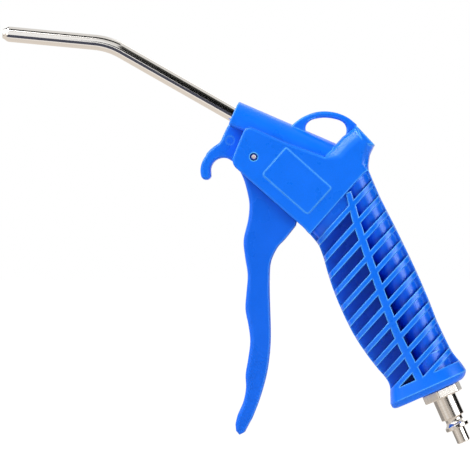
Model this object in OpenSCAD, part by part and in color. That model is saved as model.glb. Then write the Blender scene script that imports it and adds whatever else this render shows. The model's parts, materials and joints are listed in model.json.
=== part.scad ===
// Air duster (blow gun) with a long bent nozzle, a moulded grip and a hinged lever.
// X runs from the nozzle to the rear, Y across, Z up. Lengths are in millimetres.
// The origin is on the inlet plug's axis, at the shoulder under its locking flange.

/* [Inlet plug] */
// Diameter of the nose that enters the hose coupling
nose_d = 7; // [6:0.1:8]
// Length of the nose below the locking flange
nose_l = 7.8; // [6:0.1:10]
// Diameter of the locking flange
flange_d = 12.5; // [11:0.1:14]
// Thickness of the locking flange
flange_l = 3.1; // [2.5:0.1:4]
// Diameter of the neck between flange and shank
neck_d = 9.1; // [8:0.1:10]
// Length of the neck, with its cone
neck_l = 3.1; // [2.5:0.1:5]
// Diameter of the shank
shank_d = 12.4; // [11.5:0.1:14]
// Length of the shank
shank_l = 11.4; // [9:0.1:15]
// Hexagon across its flats
hex_af = 19; // [17:0.5:21]
// Height of the hexagon
hex_l = 4.8; // [4:0.1:7]
// Angle that the hexagon is screwed round to
hex_turn = 18; // [0:1:59]
// Diameter of the inlet thread
thread_d = 13; // [11:0.1:14]
// Length of the inlet thread
thread_l = 11; // [8:0.5:13]
// Diameter of the air bore through the plug
plug_bore_d = 5; // [3:0.1:5.6]

/* [Inlet insert] */
// Outer diameter of the moulded-in insert
insert_d = 16.4; // [15.5:0.1:17]
// Length of the insert
insert_l = 16; // [14:0.5:20]
// Thickness of the sealing washer
washer_h = 1.5; // [1:0.1:2]
// Outer diameter of the sealing washer
washer_d = 18.4; // [17.6:0.1:18.8]

/* [Grip] */
// Lean of the grip and the plug from upright, in degrees
grip_lean = 24; // [20:1:28]
// Length of the grip, from its lower rim to the head
grip_l = 110; // [104:1:120]
// Depth of the grip, front to rear
grip_d = 43.5; // [41:0.5:47]
// Thickness of the grip, side to side
grip_w = 28; // [26.5:0.5:31]
// Thickness of the web inside the grip
web_t = 5; // [3:0.5:8]
// Outer diameter of the air channel's wall inside the grip
channel_d = 17; // [14:0.5:19]
// Diameter of the air channel
air_d = 5; // [4:0.1:6]
// Angle of the ribs from level, in degrees
rib_angle = 48; // [44:1:52]
// Spacing of the ribs
rib_pitch = 8; // [7:0.1:10]
// Thickness of a rib
rib_w = 2.8; // [2:0.1:4]
// Width of the spine that crosses the ribs
spine_w = 4; // [2.6:0.1:5]

/* [Head] */
// Length of the head, from its front flank to the rear tip
head_l = 80; // [77:0.5:86]
// Height of the head
head_h = 62; // [60:0.5:66]
// Thickness of the head over its side plates
head_w = 25; // [24:0.5:27]
// Width of the barrel that holds the nozzle
barrel_w = 20; // [18:0.5:22]
// Width of the flank under the barrel, in front of the side plates
flank_w = 11; // [9:0.5:19]
// How far the pivot pin lies above the top of the grip, along its axis
pivot_up = 39.4; // [38:0.2:42]
// How far the pivot pin lies ahead of the grip's axis
pivot_ahead = 39.3; // [38:0.2:41]
// Thickness of the hanging eye
eye_w = 8; // [6:0.5:12]
// Outer radius of the hanging eye
eye_r = 23.6; // [23:0.1:24.5]
// Width of the band round the hanging eye
eye_band = 3.3; // [2.5:0.1:4]
// Thickness of the front hook, side to side
hook_w = 11; // [8:0.5:14]
// Inner radius of the front hook
hook_r = 6.6; // [6:0.1:7.5]
// Thickness of the front hook, seen from the side
hook_t = 5.3; // [4:0.1:5.8]

/* [Nozzle] */
// Outer diameter of the nozzle tube
tube_d = 8; // [7:0.1:8.6]
// Inner diameter of the nozzle tube
tube_bore_d = 6; // [4:0.1:6.2]
// Fall of the tube where it enters the head, in degrees
tube_fall = 29.7; // [28:0.1:32]
// Bend of the tube, in degrees
tube_bend = 24.2; // [10:0.1:40]
// Radius of the bend, on the tube's axis
bend_r = 36; // [24:1:60]
// Length from the head to the corner of the bend
rear_run = 72.9; // [50:0.5:120]
// Length from the corner of the bend to the tip
front_run = 56; // [30:0.5:150]
// Length of the tube inside the head
tube_seat = 26; // [23:0.5:29]
// Diameter of the rolled-in tip
tip_d = 5; // [4:0.1:6]
// Length of the rolled-in tip
tip_l = 3.2; // [2:0.1:5]
// Diameter of the outlet in the tip
outlet_d = 3.4; // [2:0.1:4]
// Outer diameter of the bush that holds the tube
bush_d = 11; // [10:0.1:11.6]
// Length of the bush that holds the tube
bush_l = 14; // [10:0.5:15]

/* [Lever] */
// Length of the lever, from the pivot pin to its tip
lever_l = 144.5; // [130:0.5:155]
// Depth of the lever at its heel
lever_d = 31; // [30:0.2:32]
// Width of the lever
lever_w = 17; // [15:0.2:17.4]
// Thickness of the lever's front wall
lever_front = 2.8; // [2:0.1:4]
// Thickness of the lever's side walls
lever_side = 2.2; // [1.6:0.1:3]
// Diameter of the pivot pin
pin_d = 3; // [2.5:0.1:4]
// Travel of the lever, in degrees
lever_travel = 8; // [4:0.5:8.5]

/* [Valve] */
// Angle of the valve's axis from level, in degrees
valve_angle = 43.3; // [42.5:0.1:44]
// Diameter of the valve cap
cap_d = 10; // [9.4:0.1:10.4]
// Length of the valve cap's thread
cap_l = 5.2; // [4:0.1:6]
// Diameter of the valve chamber
chamber_d = 8.6; // [8.2:0.1:8.8]
// Depth of the seat's face below the rear end of the head
seat_depth = 20.6; // [20:0.1:20.8]
// Thickness of the seat
seat_l = 2.2; // [2:0.1:2.3]
// Diameter of the hole in the seat
seat_bore_d = 4; // [3.4:0.1:4.6]
// Diameter of the poppet
poppet_d = 6.6; // [6:0.1:7]
// Thickness of the poppet
poppet_l = 2; // [1.5:0.1:2.5]
// Thickness of the rubber disc on the poppet
disc_l = 1.5; // [1:0.1:2]
// Diameter of the stem
stem_d = 2.5; // [2:0.1:3]
// Diameter of the guide bush round the stem
guide_d = 6.8; // [6:0.1:8]
// Length of the guide bush
guide_l = 6; // [4:0.5:7]
// Diameter of the spring's wire
wire_d = 0.7; // [0.5:0.05:0.9]
// Outer diameter of the spring
spring_d = 6.2; // [5.8:0.1:6.6]
// Number of turns in the spring
spring_turns = 5; // [4:1:6]

/* [Hidden] */
$fn = 64;

plastic_blue = "royalblue";
nickel = "silver";
brass = "goldenrod";
steel = "lightgray";
rubber = "dimgray";

// One overrun serves all cuts.
over = 1;
// Clearance of a screwed, pressed or moulded-in piece in its hole
seat_gap = 0.02;
// Clearance of a piece that turns or slides in its hole
run_gap = 0.04;
// Clearance between the lever and the slot that it swings in
side_gap = 0.5;
// Free play between the stem and the lever
free_play = 0.3;

// Heights along the grip's axis, counted up from the origin
hex_z = flange_l + neck_l + shank_l;
grip_z = hex_z + hex_l;
grip_top_z = grip_z + grip_l;
insert_z = grip_z + washer_h;
insert_top_z = insert_z + insert_l;
pin_z = grip_top_z + pivot_up;

// The pin's place in the part's frame, as [x, z]
pin_at = [
    -pin_z * sin(grip_lean) - pivot_ahead * cos(grip_lean),
    pin_z * cos(grip_lean) - pivot_ahead * sin(grip_lean)
];

// Directions in the side view, as [x, z]
valve_out = [cos(valve_angle), sin(valve_angle)];
valve_side = [sin(valve_angle), -cos(valve_angle)];
tube_in = [cos(tube_fall), -sin(tube_fall)];
front_fall = tube_fall - tube_bend;
front_out = [-cos(front_fall), sin(front_fall)];

// Outlines of the head in the side view, counted from the pin as shares of its length and height
function on_head(shares) = [for (p = shares) [p[0] * head_l, p[1] * head_h]];

plate_shares = [
    [-0.106, -0.098], [-0.044, -0.174], [0.142, -0.384], [0.266, -0.535], [0.329, -0.592],
    [0.378, -0.622], [0.660, -0.220], [0.465, -0.013], [0.213, 0.115], [0.018, 0.227],
    [-0.014, 0.245], [-0.045, 0.240], [-0.070, 0.208], [-0.112, 0.077], [-0.134, 0.003],
    [-0.128, -0.042]
];
rear_shares = [
    [0.360, -0.190], [0.400, -0.588], [0.708, -0.145], [0.744, -0.133], [0.740, -0.084],
    [0.751, 0.023]
];
ridge_shares = [[0.590, 0.195], [0.524, 0.103], [0.450, 0.000]];
flank_shares = [
    [-0.156, -0.016], [0.025, -0.097], [0.175, 0.194], [-0.050, 0.387], [-0.140, 0.360],
    [-0.220, 0.132], [-0.219, 0.048]
];
hook_root_shares = [[-0.100, 0.000], [-0.125, 0.194], [-0.222, 0.128], [-0.249, 0.100], [-0.290, 0.060]];
slot_heel_shares = [[0.370, -0.484], [0.334, -0.610], [0.250, -0.677], [-0.038, -0.290], [-0.098, -0.135]];
eye_foot_shares = [[0.260, 0.130], [0.520, -0.010], [0.650, 0.120]];
eye_hole_foot_shares = [[0.334, 0.258], [0.337, 0.226], [0.450, 0.060], [0.520, 0.092], [0.597, 0.206], [0.596, 0.244]];

valve_end = on_head([[0.7225, 0.182]])[0];
tube_mouth = on_head([[-0.1556, 0.372]])[0];
barrel_top = on_head([[-0.101, 0.466]])[0];
barrel_rear = on_head([[0.516, 0.121]])[0];
eye_at = on_head([[0.4575, 0.003]])[0];
hook_at = on_head([[-0.2025, -0.113]])[0];

// Slope and length of the barrel's top edge
barrel_fall = atan2(barrel_top[1] - barrel_rear[1], barrel_rear[0] - barrel_top[0]);
barrel_l = norm(barrel_rear - barrel_top);
// How far the barrel's straight sides reach below its top
barrel_deep = 13;

// Half-round edges of the mouldings
plate_edge = 1.2;
rear_edge = 4.5;
flank_edge = 1.6;
hook_edge = 1.8;
eye_edge = 1.6;
lever_edge = 1.8;
// The rear of the head stands this much below the side plates.
rear_step = 0.2;

// Wall of the head round the cap's thread
end_wall = 1.65;
end_w = cap_d + 2 * end_wall;
end_top = valve_end - valve_side * end_w / 2;
end_low = valve_end + valve_side * end_w / 2;

// Depths of the valve, counted inwards from the flat rear end of the head
cap_recess = 0.4;
cap_shoulder = cap_recess + cap_l;
cap_seal_d = 1.4;
cap_spigot = 0.6;
chamber_z = cap_shoulder + cap_seal_d + seat_gap;
spring_z = chamber_z + cap_spigot;
seat_end = seat_depth + seat_l;
disc_z = seat_depth - disc_l;
poppet_z = disc_z - poppet_l;
clip_t = 0.5;
clip_z = poppet_z - clip_t;
clip_d = 4.4;
// The stem stands out this far behind its clip.
stem_end = 0.6;
stem_z = clip_z - stem_end;
// Depth where the air channel meets the chamber
inlet_depth = 12.5;
// The stem meets the lever level with the pivot pin, where its push is straight.
stem_tip = valve_end * valve_out;
lever_arm = valve_end[0] * valve_out[1] - valve_end[1] * valve_out[0];
stem_stroke = lever_arm * lever_travel * PI / 180;
pad_depth = stem_tip + free_play;
// Room between the guide and the lever's pad at full travel
guide_room = 1.8;
guide_face = stem_tip - stem_stroke - guide_room;
guide_z = guide_face - guide_l;
stem_seal_wire = 1.2;
stem_seal_z = guide_z - stem_seal_wire - 2 * seat_gap;
gallery_d = 6;
gallery_l = 6.2;
stem_hole_gap = 0.35;
stem_hole_d = stem_d + 2 * stem_hole_gap;
// Wire of the seat's ring and the groove that it lies in
seat_ring = 1;
seat_groove_z = seat_depth + seat_l / 2;

// Where the nozzle's air way meets the valve's axis, counted from the tube's mouth
function cross2(a, b) = a[0] * b[1] - a[1] * b[0];
outlet_reach = cross2(valve_end - tube_mouth, valve_out) / cross2(tube_in, valve_out);
outlet_way_d = 5;
bush_z = 6;
// Wire of the ring that seals the tube, in the same hole as the bush
nozzle_ring = (bush_d - tube_d) / 2 - seat_gap;
bend_run = bend_r * tan(tube_bend / 2);
bend_at = tube_mouth - tube_in * rear_run;
tip_at = bend_at + front_out * front_run;
// The wall draws in this much where the tube is bent, and the straights reach this far into the bend.
bend_draw = 0.01;
bend_lap = 0.5;
// The rolled-in tip narrows in two steps.
tip_step_share = 0.6;
tip_shoulder_share = 0.4;
tip_step_d = tube_d - (tube_d - tip_d) * tip_shoulder_share;

// Lever: outline in the side view, as shares of its depth and length
lever_front_shares = [
    [-0.236, -0.052], [-0.161, -0.089], [-0.097, -0.144], [-0.081, -0.180], [-0.103, -0.228],
    [-0.177, -0.298], [-0.155, -0.358], [-0.110, -0.422], [-0.129, -0.484], [-0.148, -0.547],
    [-0.097, -0.606], [-0.068, -0.664], [-0.103, -0.727], [-0.145, -0.782], [-0.139, -0.830],
    [-0.181, -0.879], [-0.277, -0.927], [-0.316, -0.962]
];
lever_tip_shares = [[-0.303, -0.985], [-0.245, -0.999], [-0.165, -0.990]];
lever_rear_shares = [
    [-0.045, -0.943], [0.077, -0.880], [0.177, -0.812], [0.239, -0.749], [0.274, -0.671],
    [0.271, -0.595], [0.255, -0.512], [0.245, -0.436], [0.258, -0.388], [0.303, -0.356],
    [0.394, -0.321], [0.510, -0.295], [0.687, -0.247]
];
function on_lever(shares) = [for (p = shares) [p[0] * lever_d, p[1] * lever_l]];
boss_r = 6.2;
boss_gap = 0.8;
pad_front = 5.5;
pad_rear = 3.5;
pad_t = 2.6;
pad_at = valve_end - valve_out * pad_depth;
channel_top_share = -0.060;
channel_foot_share = -0.950;
// Sunk ends of the pivot pin
pin_recess = 0.8;
pin_sink_edge = 0.55;
pin_sink_d = pin_d + 2 * pin_sink_edge;

// Grip: height, front edge, rear edge and half thickness, as shares of its length, depth and width
grip_shares = [
    [0.000, -0.552, 0.287, 0.450], [0.011, -0.598, 0.340, 0.507], [0.031, -0.611, 0.375, 0.536],
    [0.073, -0.563, 0.356, 0.507], [0.110, -0.524, 0.331, 0.479], [0.151, -0.529, 0.310, 0.471],
    [0.215, -0.593, 0.299, 0.479], [0.301, -0.644, 0.294, 0.493], [0.396, -0.683, 0.306, 0.500],
    [0.505, -0.697, 0.310, 0.500], [0.615, -0.692, 0.308, 0.500], [0.705, -0.671, 0.301, 0.493],
    [0.787, -0.641, 0.294, 0.479], [0.851, -0.632, 0.285, 0.464], [0.905, -0.653, 0.276, 0.454],
    [0.960, -0.690, 0.267, 0.446], [1.100, -0.690, 0.262, 0.436]
];
// The section's fullness: 2 is an ellipse, more is squarer.
grip_power = 2.7;
grip_sides = 28;
// Lowest height of the pockets, above the grip's rim
pocket_foot_share = 0.087;
// Distance from the pin to the first pocket, square to the ribs
plain_reach = 48.2;
pocket_w = rib_pitch - rib_w;
pocket_count = ceil((grip_l + pivot_up) * cos(rib_angle - grip_lean) / rib_pitch);
spine_shares = [[1.100, -0.031], [0.958, -0.071], [0.880, -0.101], [0.724, -0.136], [0.480, -0.181],
    [0.310, -0.198], [0.125, -0.176], [0.060, -0.166]];
// The channel's axis lies this far behind the plug's axis.
channel_v = 2.5;
// Wall round the insert, and how far its boss reaches past it
boss_wall = 2.3;
boss_over = 3;
boss_d = insert_d + 2 * boss_wall;
boss_top = insert_l + boss_over;

// Points on an arc, from one angle to another
function arc(centre, r, from, to, steps) =
    [for (i = [0:steps]) let (a = from + (to - from) * i / steps) centre + r * [cos(a), sin(a)]];

// A smooth curve through points, with even steps between each pair
function curve_at(a, b, c, d, t) =
    ((2 * b) + (c - a) * t + (2 * a - 5 * b + 4 * c - d) * t * t + (3 * b - a - 3 * c + d) * t * t * t) / 2;
function curve(p, steps) = concat(
    [for (i = [0:len(p) - 2], j = [0:steps - 1])
        curve_at(p[max(i - 1, 0)], p[i], p[i + 1], p[min(i + 2, len(p) - 1)], j / steps)],
    [p[len(p) - 1]]
);

// A closed outline drawn in by a distance
function inward(a, b) = let (d = (b - a) / norm(b - a)) [-d[1], d[0]];
function drawn_in(p, by) = [
    for (i = [0:len(p) - 1])
        let (
            a = inward(p[(i + len(p) - 1) % len(p)], p[i]),
            b = inward(p[i], p[(i + 1) % len(p)])
        )
        p[i] + (a + b) * by / (1 + a * b)
];

// A closed outline cut into triangles, one ear at a time: left holds the numbers of its points
function turn(a, b, c) = cross2(b - a, c - a);
function covers(a, b, c, p) = turn(a, b, p) >= 0 && turn(b, c, p) >= 0 && turn(c, a, p) >= 0;
function corner(left, i) = [for (k = [-1:1]) left[(i + k + len(left)) % len(left)]];
function is_ear(p, t, left) =
    turn(p[t[0]], p[t[1]], p[t[2]]) > 0 &&
    len([for (k = left) if (k != t[0] && k != t[1] && k != t[2] && covers(p[t[0]], p[t[1]], p[t[2]], p[k])) k]) == 0;
function ears(p, left) =
    len(left) == 3 ? [left] :
    let (i = [for (k = [0:len(left) - 1]) if (is_ear(p, corner(left, k), left)) k][0])
    concat([corner(left, i)], ears(p, [for (k = [0:len(left) - 1]) if (k != i) left[k]]));

// A flat moulding with rounded edges, from an outline that runs anticlockwise in the side view
module slab(outline, width, edge, steps = 2) {
    count = len(outline);
    cap = ears(drawn_in(outline, edge), [for (i = [0:count - 1]) i]);
    rings = [
        for (s = [-1, 1], k = [0:steps])
            let (
                a = s < 0 ? 90 * (1 - k / steps) : 90 * k / steps,
                ring = drawn_in(outline, edge * (1 - cos(a))),
                y = s * (width / 2 - edge + edge * sin(a))
            )
            [for (p = ring) [p[0], y, p[1]]]
    ];
    last = (len(rings) - 1) * count;
    polyhedron(
        points = [for (ring = rings) each ring],
        faces = concat(
            [for (t = cap) [t[2], t[1], t[0]]],
            [for (t = cap) [last + t[0], last + t[1], last + t[2]]],
            [for (j = [0:len(rings) - 2], i = [0:count - 1])
                let (n = (i + 1) % count)
                [j * count + i, j * count + n, (j + 1) * count + n, (j + 1) * count + i]]
        ),
        convexity = 8
    );
}

module at_pin() translate([pin_at[0], 0, pin_at[1]]) children();
module in_grip() rotate([0, -grip_lean, 0]) children();
module side_cut(width) rotate([90, 0, 0]) linear_extrude(width, center = true) children();

// Local Z runs inwards along the valve's axis, from the flat rear end of the head.
module on_valve(depth) {
    at_pin()
        translate([valve_end[0], 0, valve_end[1]])
            rotate([0, -90 - valve_angle, 0])
                translate([0, 0, depth])
                    children();
}

// Local Z runs inwards along the tube's axis, from its mouth in the head.
module on_tube(depth) {
    at_pin()
        translate([tube_mouth[0], 0, tube_mouth[1]])
            rotate([0, 90 + tube_fall, 0])
                translate([0, 0, depth])
                    children();
}

// A round bar between two points of the side view, counted from the pin
module bar_between(a, b, d) {
    translate([a[0], 0, a[1]])
        rotate([0, atan2(b[0] - a[0], b[1] - a[1]), 0])
            cylinder(d = d, h = norm(b - a));
}

module ring(r, wire) rotate_extrude() translate([r, 0]) circle(d = wire, $fn = 24);

// The grip's outer form: rounded sections stacked up its axis
function power(x, p) = sign(x) * pow(abs(x), 2 / p);
module grip_form() {
    rings = [
        for (s = grip_shares)
            let (
                z = grip_z + s[0] * grip_l,
                mid = (s[2] + s[1]) * grip_d / 2,
                half = (s[2] - s[1]) * grip_d / 2
            )
            [for (i = [0:grip_sides - 1])
                let (a = 360 * (i + 0.5) / grip_sides)
                [mid + half * power(cos(a), grip_power), s[3] * grip_w * power(sin(a), grip_power), z]]
    ];
    last = (len(rings) - 1) * grip_sides;
    polyhedron(
        points = [for (ring = rings) each ring],
        faces = concat(
            [[for (i = [0:grip_sides - 1]) i]],
            [[for (i = [grip_sides - 1:-1:0]) last + i]],
            [for (j = [0:len(rings) - 2], i = [0:grip_sides - 1])
                let (n = (i + 1) % grip_sides, a = j * grip_sides, b = (j + 1) * grip_sides)
                each [[a + i, b + i, b + n], [a + i, b + n, a + n]]]
        ),
        convexity = 6
    );
}

// What stays solid inside the pockets: the web, the air channel's wall and the insert's boss
module grip_core() {
    translate([-grip_d, -web_t / 2, grip_z])
        cube([2 * grip_d, web_t, grip_l + pivot_up]);
    translate([channel_v, 0, grip_z])
        cylinder(d = channel_d, h = grip_l + pivot_up);
    translate([0, 0, grip_z])
        cylinder(d = boss_d, h = boss_top);
}

// The pockets in the side view, drawn in the grip's own frame
module pocket_plan() {
    difference() {
        intersection() {
            translate([-2 * grip_d, grip_z + pocket_foot_share * grip_l])
                square([4 * grip_d, grip_l]);
            translate([-pivot_ahead, pin_z])
                rotate(rib_angle - grip_lean)
                    for (k = [0:pocket_count - 1])
                        translate([-2 * grip_l, -plain_reach - pocket_w - k * rib_pitch])
                            square([4 * grip_l, pocket_w]);
        }
        polygon(concat(
            [for (s = spine_shares) [s[1] * grip_d + spine_w / 2, grip_z + s[0] * grip_l]],
            [for (i = [len(spine_shares) - 1:-1:0]) let (s = spine_shares[i])
                [s[1] * grip_d - spine_w / 2, grip_z + s[0] * grip_l]]
        ));
    }
}

module ribbed_grip() {
    in_grip()
        difference() {
            grip_form();
            difference() {
                side_cut(2 * grip_w) pocket_plan();
                grip_core();
            }
        }
}

module barrel() {
    translate([barrel_top[0], 0, barrel_top[1]])
        rotate([0, barrel_fall, 0])
            rotate([90, 0, 90])
                linear_extrude(barrel_l) {
                    translate([0, -barrel_w / 2])
                        circle(d = barrel_w);
                    translate([-barrel_w / 2, -barrel_deep])
                        square([barrel_w, barrel_deep - barrel_w / 2]);
                }
}

module hanging_eye() {
    difference() {
        slab(concat(arc(eye_at, eye_r, 45, 137, 18), on_head(eye_foot_shares)), eye_w, eye_edge);
        side_cut(2 * eye_w)
            polygon(concat(arc(eye_at, eye_r - eye_band, 63, 114, 12), on_head(eye_hole_foot_shares)));
    }
}

module front_hook() {
    middle = hook_r + hook_t / 2;
    slab(
        concat(
            on_head(hook_root_shares),
            arc(hook_at, hook_r + hook_t, 147, 192, 6),
            arc(hook_at + middle * [cos(194), sin(194)], hook_t / 2, 210, 350, 6),
            arc(hook_at, hook_r, 190, 42, 12)
        ),
        hook_w, hook_edge
    );
}

// Room for the lever between the side plates
module lever_slot() {
    guide_at = valve_end - valve_out * guide_face;
    side_cut(lever_w + 2 * side_gap)
        polygon(concat(
            arc([0, 0], boss_r + boss_gap, 190, 35, 12),
            [guide_at - valve_side * (pad_front + boss_gap), guide_at + valve_side * (pad_front + boss_gap)],
            on_head(slot_heel_shares)
        ));
}

module valve_bores() {
    on_valve(-over)
        cylinder(d = cap_d + 2 * seat_gap, h = chamber_z + over);
    on_valve(0)
        cylinder(d = chamber_d, h = seat_end);
    on_valve(0)
        cylinder(d = gallery_d, h = seat_end + gallery_l);
    on_valve(0)
        cylinder(d = stem_hole_d, h = guide_z);
    on_valve(stem_seal_z)
        cylinder(d = stem_d + 2 * run_gap + 2 * stem_seal_wire, h = stem_seal_wire + 2 * over);
    on_valve(guide_z)
        cylinder(d = guide_d + 2 * seat_gap, h = guide_l + over);
}

module body() {
    inlet_at = valve_end - valve_out * inlet_depth;
    color(plastic_blue)
    difference() {
        union() {
            ribbed_grip();
            at_pin() {
                slab(on_head(plate_shares), head_w, plate_edge);
                slab(concat(on_head(rear_shares), [end_low, end_top], on_head(ridge_shares)),
                    head_w - 2 * rear_step, rear_edge, 3);
                slab(on_head(flank_shares), flank_w, flank_edge);
                front_hook();
                hanging_eye();
                barrel();
            }
        }
        at_pin() {
            lever_slot();
            rotate([90, 0, 0])
                cylinder(d = pin_d + 2 * seat_gap, h = 2 * head_w, center = true);
            for (s = [-1, 1])
                translate([0, s * (head_w / 2 - pin_recess + over), 0])
                    rotate([90, 0, 0])
                        cylinder(d = pin_sink_d, h = 2 * over, center = true);
            bar_between(-pin_at + insert_top_z * [-sin(grip_lean), cos(grip_lean)], inlet_at, air_d);
        }
        valve_bores();
        on_tube(-over)
            cylinder(d = tube_d + 2 * seat_gap, h = tube_seat + over);
        on_tube(bush_z)
            cylinder(d = bush_d + 2 * seat_gap, h = bush_l + nozzle_ring + 2 * seat_gap);
        on_tube(0)
            cylinder(d = outlet_way_d, h = outlet_reach);
        in_grip() {
            translate([0, 0, insert_z])
                cylinder(d = insert_d + 2 * seat_gap, h = insert_l);
            translate([0, 0, grip_z - over])
                cylinder(d = washer_d + 2 * side_gap, h = washer_h + over);
        }
    }
}

function lever_outline() = concat(
    arc([0, 0], boss_r, 15, 205, 12),
    curve(on_lever(lever_front_shares), 2),
    on_lever(lever_tip_shares),
    curve(on_lever(lever_rear_shares), 2),
    [pad_at + valve_side * pad_rear, pad_at - valve_side * pad_front]
);

module trigger() {
    front = curve(on_lever(lever_front_shares), 2);
    pad_a = pad_at - valve_side * pad_front;
    pad_b = pad_at + valve_side * pad_rear;
    channel_top = channel_top_share * lever_l;
    channel_foot = channel_foot_share * lever_l;
    color(plastic_blue)
    at_pin()
    difference() {
        union() {
            difference() {
                slab(lever_outline(), lever_w, lever_edge);
                side_cut(lever_w - 2 * lever_side)
                    intersection() {
                        polygon(concat(
                            [for (p = front) p + [lever_front, 0]],
                            [[lever_d + pad_front, channel_foot - over], [lever_d + pad_front, 0]]
                        ));
                        translate([-lever_d, channel_foot])
                            square([3 * lever_d, channel_top - channel_foot]);
                    }
            }
            side_cut(lever_w - lever_side)
                polygon([pad_a, pad_b, pad_b - valve_out * pad_t, pad_a - valve_out * pad_t]);
        }
        rotate([90, 0, 0])
            cylinder(d = pin_d + 2 * run_gap, h = 2 * lever_w, center = true);
    }
}

module pivot_pin() {
    color(steel)
    at_pin()
    rotate([90, 0, 0])
        cylinder(d = pin_d, h = head_w - 2 * pin_recess, center = true);
}

// A straight length of tube between two points of the side view
module straight_tube(a, b) {
    translate([a[0], 0, a[1]])
        rotate([0, atan2(b[0] - a[0], b[1] - a[1]), 0])
            linear_extrude(norm(b - a))
                tube_section(0);
}

module tube_section(draw) {
    difference() {
        circle(d = tube_d - 2 * draw);
        circle(d = tube_bore_d - 2 * draw);
    }
}

// The straight front of the tube, with its end rolled in to a smaller outlet
module front_tube(length) {
    step_z = tip_l * (1 - tip_step_share);
    translate([tip_at[0], 0, tip_at[1]])
        rotate([0, 90 + front_fall, 0])
            rotate_extrude()
                polygon([
                    [outlet_d / 2, 0], [tip_d / 2, 0], [tip_step_d / 2, step_z], [tube_d / 2, tip_l],
                    [tube_d / 2, length], [tube_bore_d / 2, length], [tube_bore_d / 2, tip_l],
                    [outlet_d / 2, step_z]
                ]);
}

module nozzle_tube() {
    start = tube_mouth + tube_in * tube_seat;
    bend_start = bend_at + tube_in * bend_run;
    centre = bend_start - bend_r * [sin(tube_fall), cos(tube_fall)];
    color(nickel)
    at_pin() {
        straight_tube(start, bend_start - tube_in * bend_lap);
        front_tube(front_run - bend_run + bend_lap);
        translate([centre[0], 0, centre[1]])
            rotate([0, tube_fall - 90, 0])
                rotate([90, 0, 0])
                    rotate_extrude(angle = tube_bend)
                        translate([bend_r, 0])
                            tube_section(bend_draw);
    }
}

module nozzle_bush() {
    color(brass)
    on_tube(bush_z)
    difference() {
        cylinder(d = bush_d, h = bush_l);
        translate([0, 0, -over])
            cylinder(d = tube_d + 2 * seat_gap, h = bush_l + 2 * over);
    }
}

module nozzle_seal() {
    color(rubber)
    on_tube(bush_z + bush_l + seat_gap + nozzle_ring / 2)
        ring(tube_d / 2 + seat_gap + nozzle_ring / 2, nozzle_ring);
}

module valve_cap() {
    socket_af = cap_d / 2;
    color(brass)
    on_valve(cap_recess)
    difference() {
        union() {
            cylinder(d = cap_d, h = cap_l);
            cylinder(d = spring_d + wire_d / 2, h = spring_z - cap_recess);
            cylinder(d = spring_d - 2 * wire_d - 4 * seat_gap, h = spring_z - cap_recess + wire_d);
        }
        translate([0, 0, -over])
            cylinder(d = socket_af / cos(30), h = cap_l / 2 + over, $fn = 6);
    }
}

module cap_seal() {
    color(rubber)
    on_valve(cap_shoulder + cap_seal_d / 2 + seat_gap / 2)
        ring(spring_d / 2 + wire_d / 4 + seat_gap + cap_seal_d / 2, cap_seal_d);
}

// The spring is one unbroken round wire, wound as a helix.
module valve_spring() {
    steps = 14;
    sides = 6;
    count = steps * spring_turns;
    wire_r = (wire_d - 2 * seat_gap) / 2;
    mean_r = spring_d / 2 - wire_r;
    rise = clip_z + clip_t - spring_z - wire_d;
    pitch = rise / spring_turns;
    lean = atan2(pitch, 2 * PI * mean_r);
    points = [
        for (i = [0:count])
            let (a = 360 * i / steps, z = rise * i / count)
            for (k = [0:sides - 1])
                let (b = 360 * k / sides, out = wire_r * cos(b), up = wire_r * sin(b))
                [
                    (mean_r + out) * cos(a) + up * sin(lean) * sin(a),
                    (mean_r + out) * sin(a) - up * sin(lean) * cos(a),
                    z + up * cos(lean)
                ]
    ];
    echo(least_gap_between_curls = pitch * cos(lean) - wire_d);
    color(steel)
    on_valve(spring_z + wire_d / 2)
        polyhedron(
            points = points,
            faces = concat(
                [[for (k = [0:sides - 1]) k]],
                [[for (k = [sides - 1:-1:0]) count * sides + k]],
                [for (i = [0:count - 1], k = [0:sides - 1])
                    let (n = (k + 1) % sides, a = i * sides, b = (i + 1) * sides)
                    each [[a + k, b + k, b + n], [a + k, b + n, a + n]]]
            ),
            convexity = 6
        );
}

module stem_ring(z, outer_d, h, hole_d) {
    on_valve(z)
        difference() {
            cylinder(d = outer_d, h = h);
            translate([0, 0, -over])
                cylinder(d = hole_d, h = h + 2 * over);
        }
}

module poppet() color(brass) stem_ring(poppet_z, poppet_d, poppet_l, stem_d + 2 * seat_gap);
module poppet_seal() color(rubber) stem_ring(disc_z, poppet_d, disc_l, stem_d + 2 * seat_gap);
module poppet_clip() color(steel) stem_ring(clip_z, clip_d, clip_t, stem_d + 2 * seat_gap);

module valve_seat() {
    color(brass)
    difference() {
        stem_ring(seat_depth, chamber_d - 2 * seat_gap, seat_l, seat_bore_d);
        on_valve(seat_groove_z - seat_ring / 2 - seat_gap)
            difference() {
                cylinder(d = chamber_d + over, h = seat_ring + 2 * seat_gap);
                cylinder(d = chamber_d - 2 * seat_ring - 4 * seat_gap, h = seat_ring + 2 * over);
            }
    }
}

module seat_seal() {
    color(rubber)
    on_valve(seat_groove_z)
        ring(chamber_d / 2 - seat_gap - seat_ring / 2, seat_ring);
}

module valve_stem() {
    color(steel)
    on_valve(stem_z)
        cylinder(d = stem_d, h = stem_tip - stem_z);
}

module stem_seal() {
    color(rubber)
    on_valve(stem_seal_z + seat_gap + stem_seal_wire / 2)
        ring(stem_d / 2 + run_gap + stem_seal_wire / 2, stem_seal_wire);
}

module stem_guide() color(brass) stem_ring(guide_z, guide_d, guide_l, stem_d + 2 * run_gap);

module inlet_insert() {
    color(brass)
    in_grip()
    translate([0, 0, insert_z])
    difference() {
        cylinder(d = insert_d, h = insert_l);
        translate([0, 0, -over])
            cylinder(d = thread_d + 2 * seat_gap, h = insert_l + 2 * over);
    }
}

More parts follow.
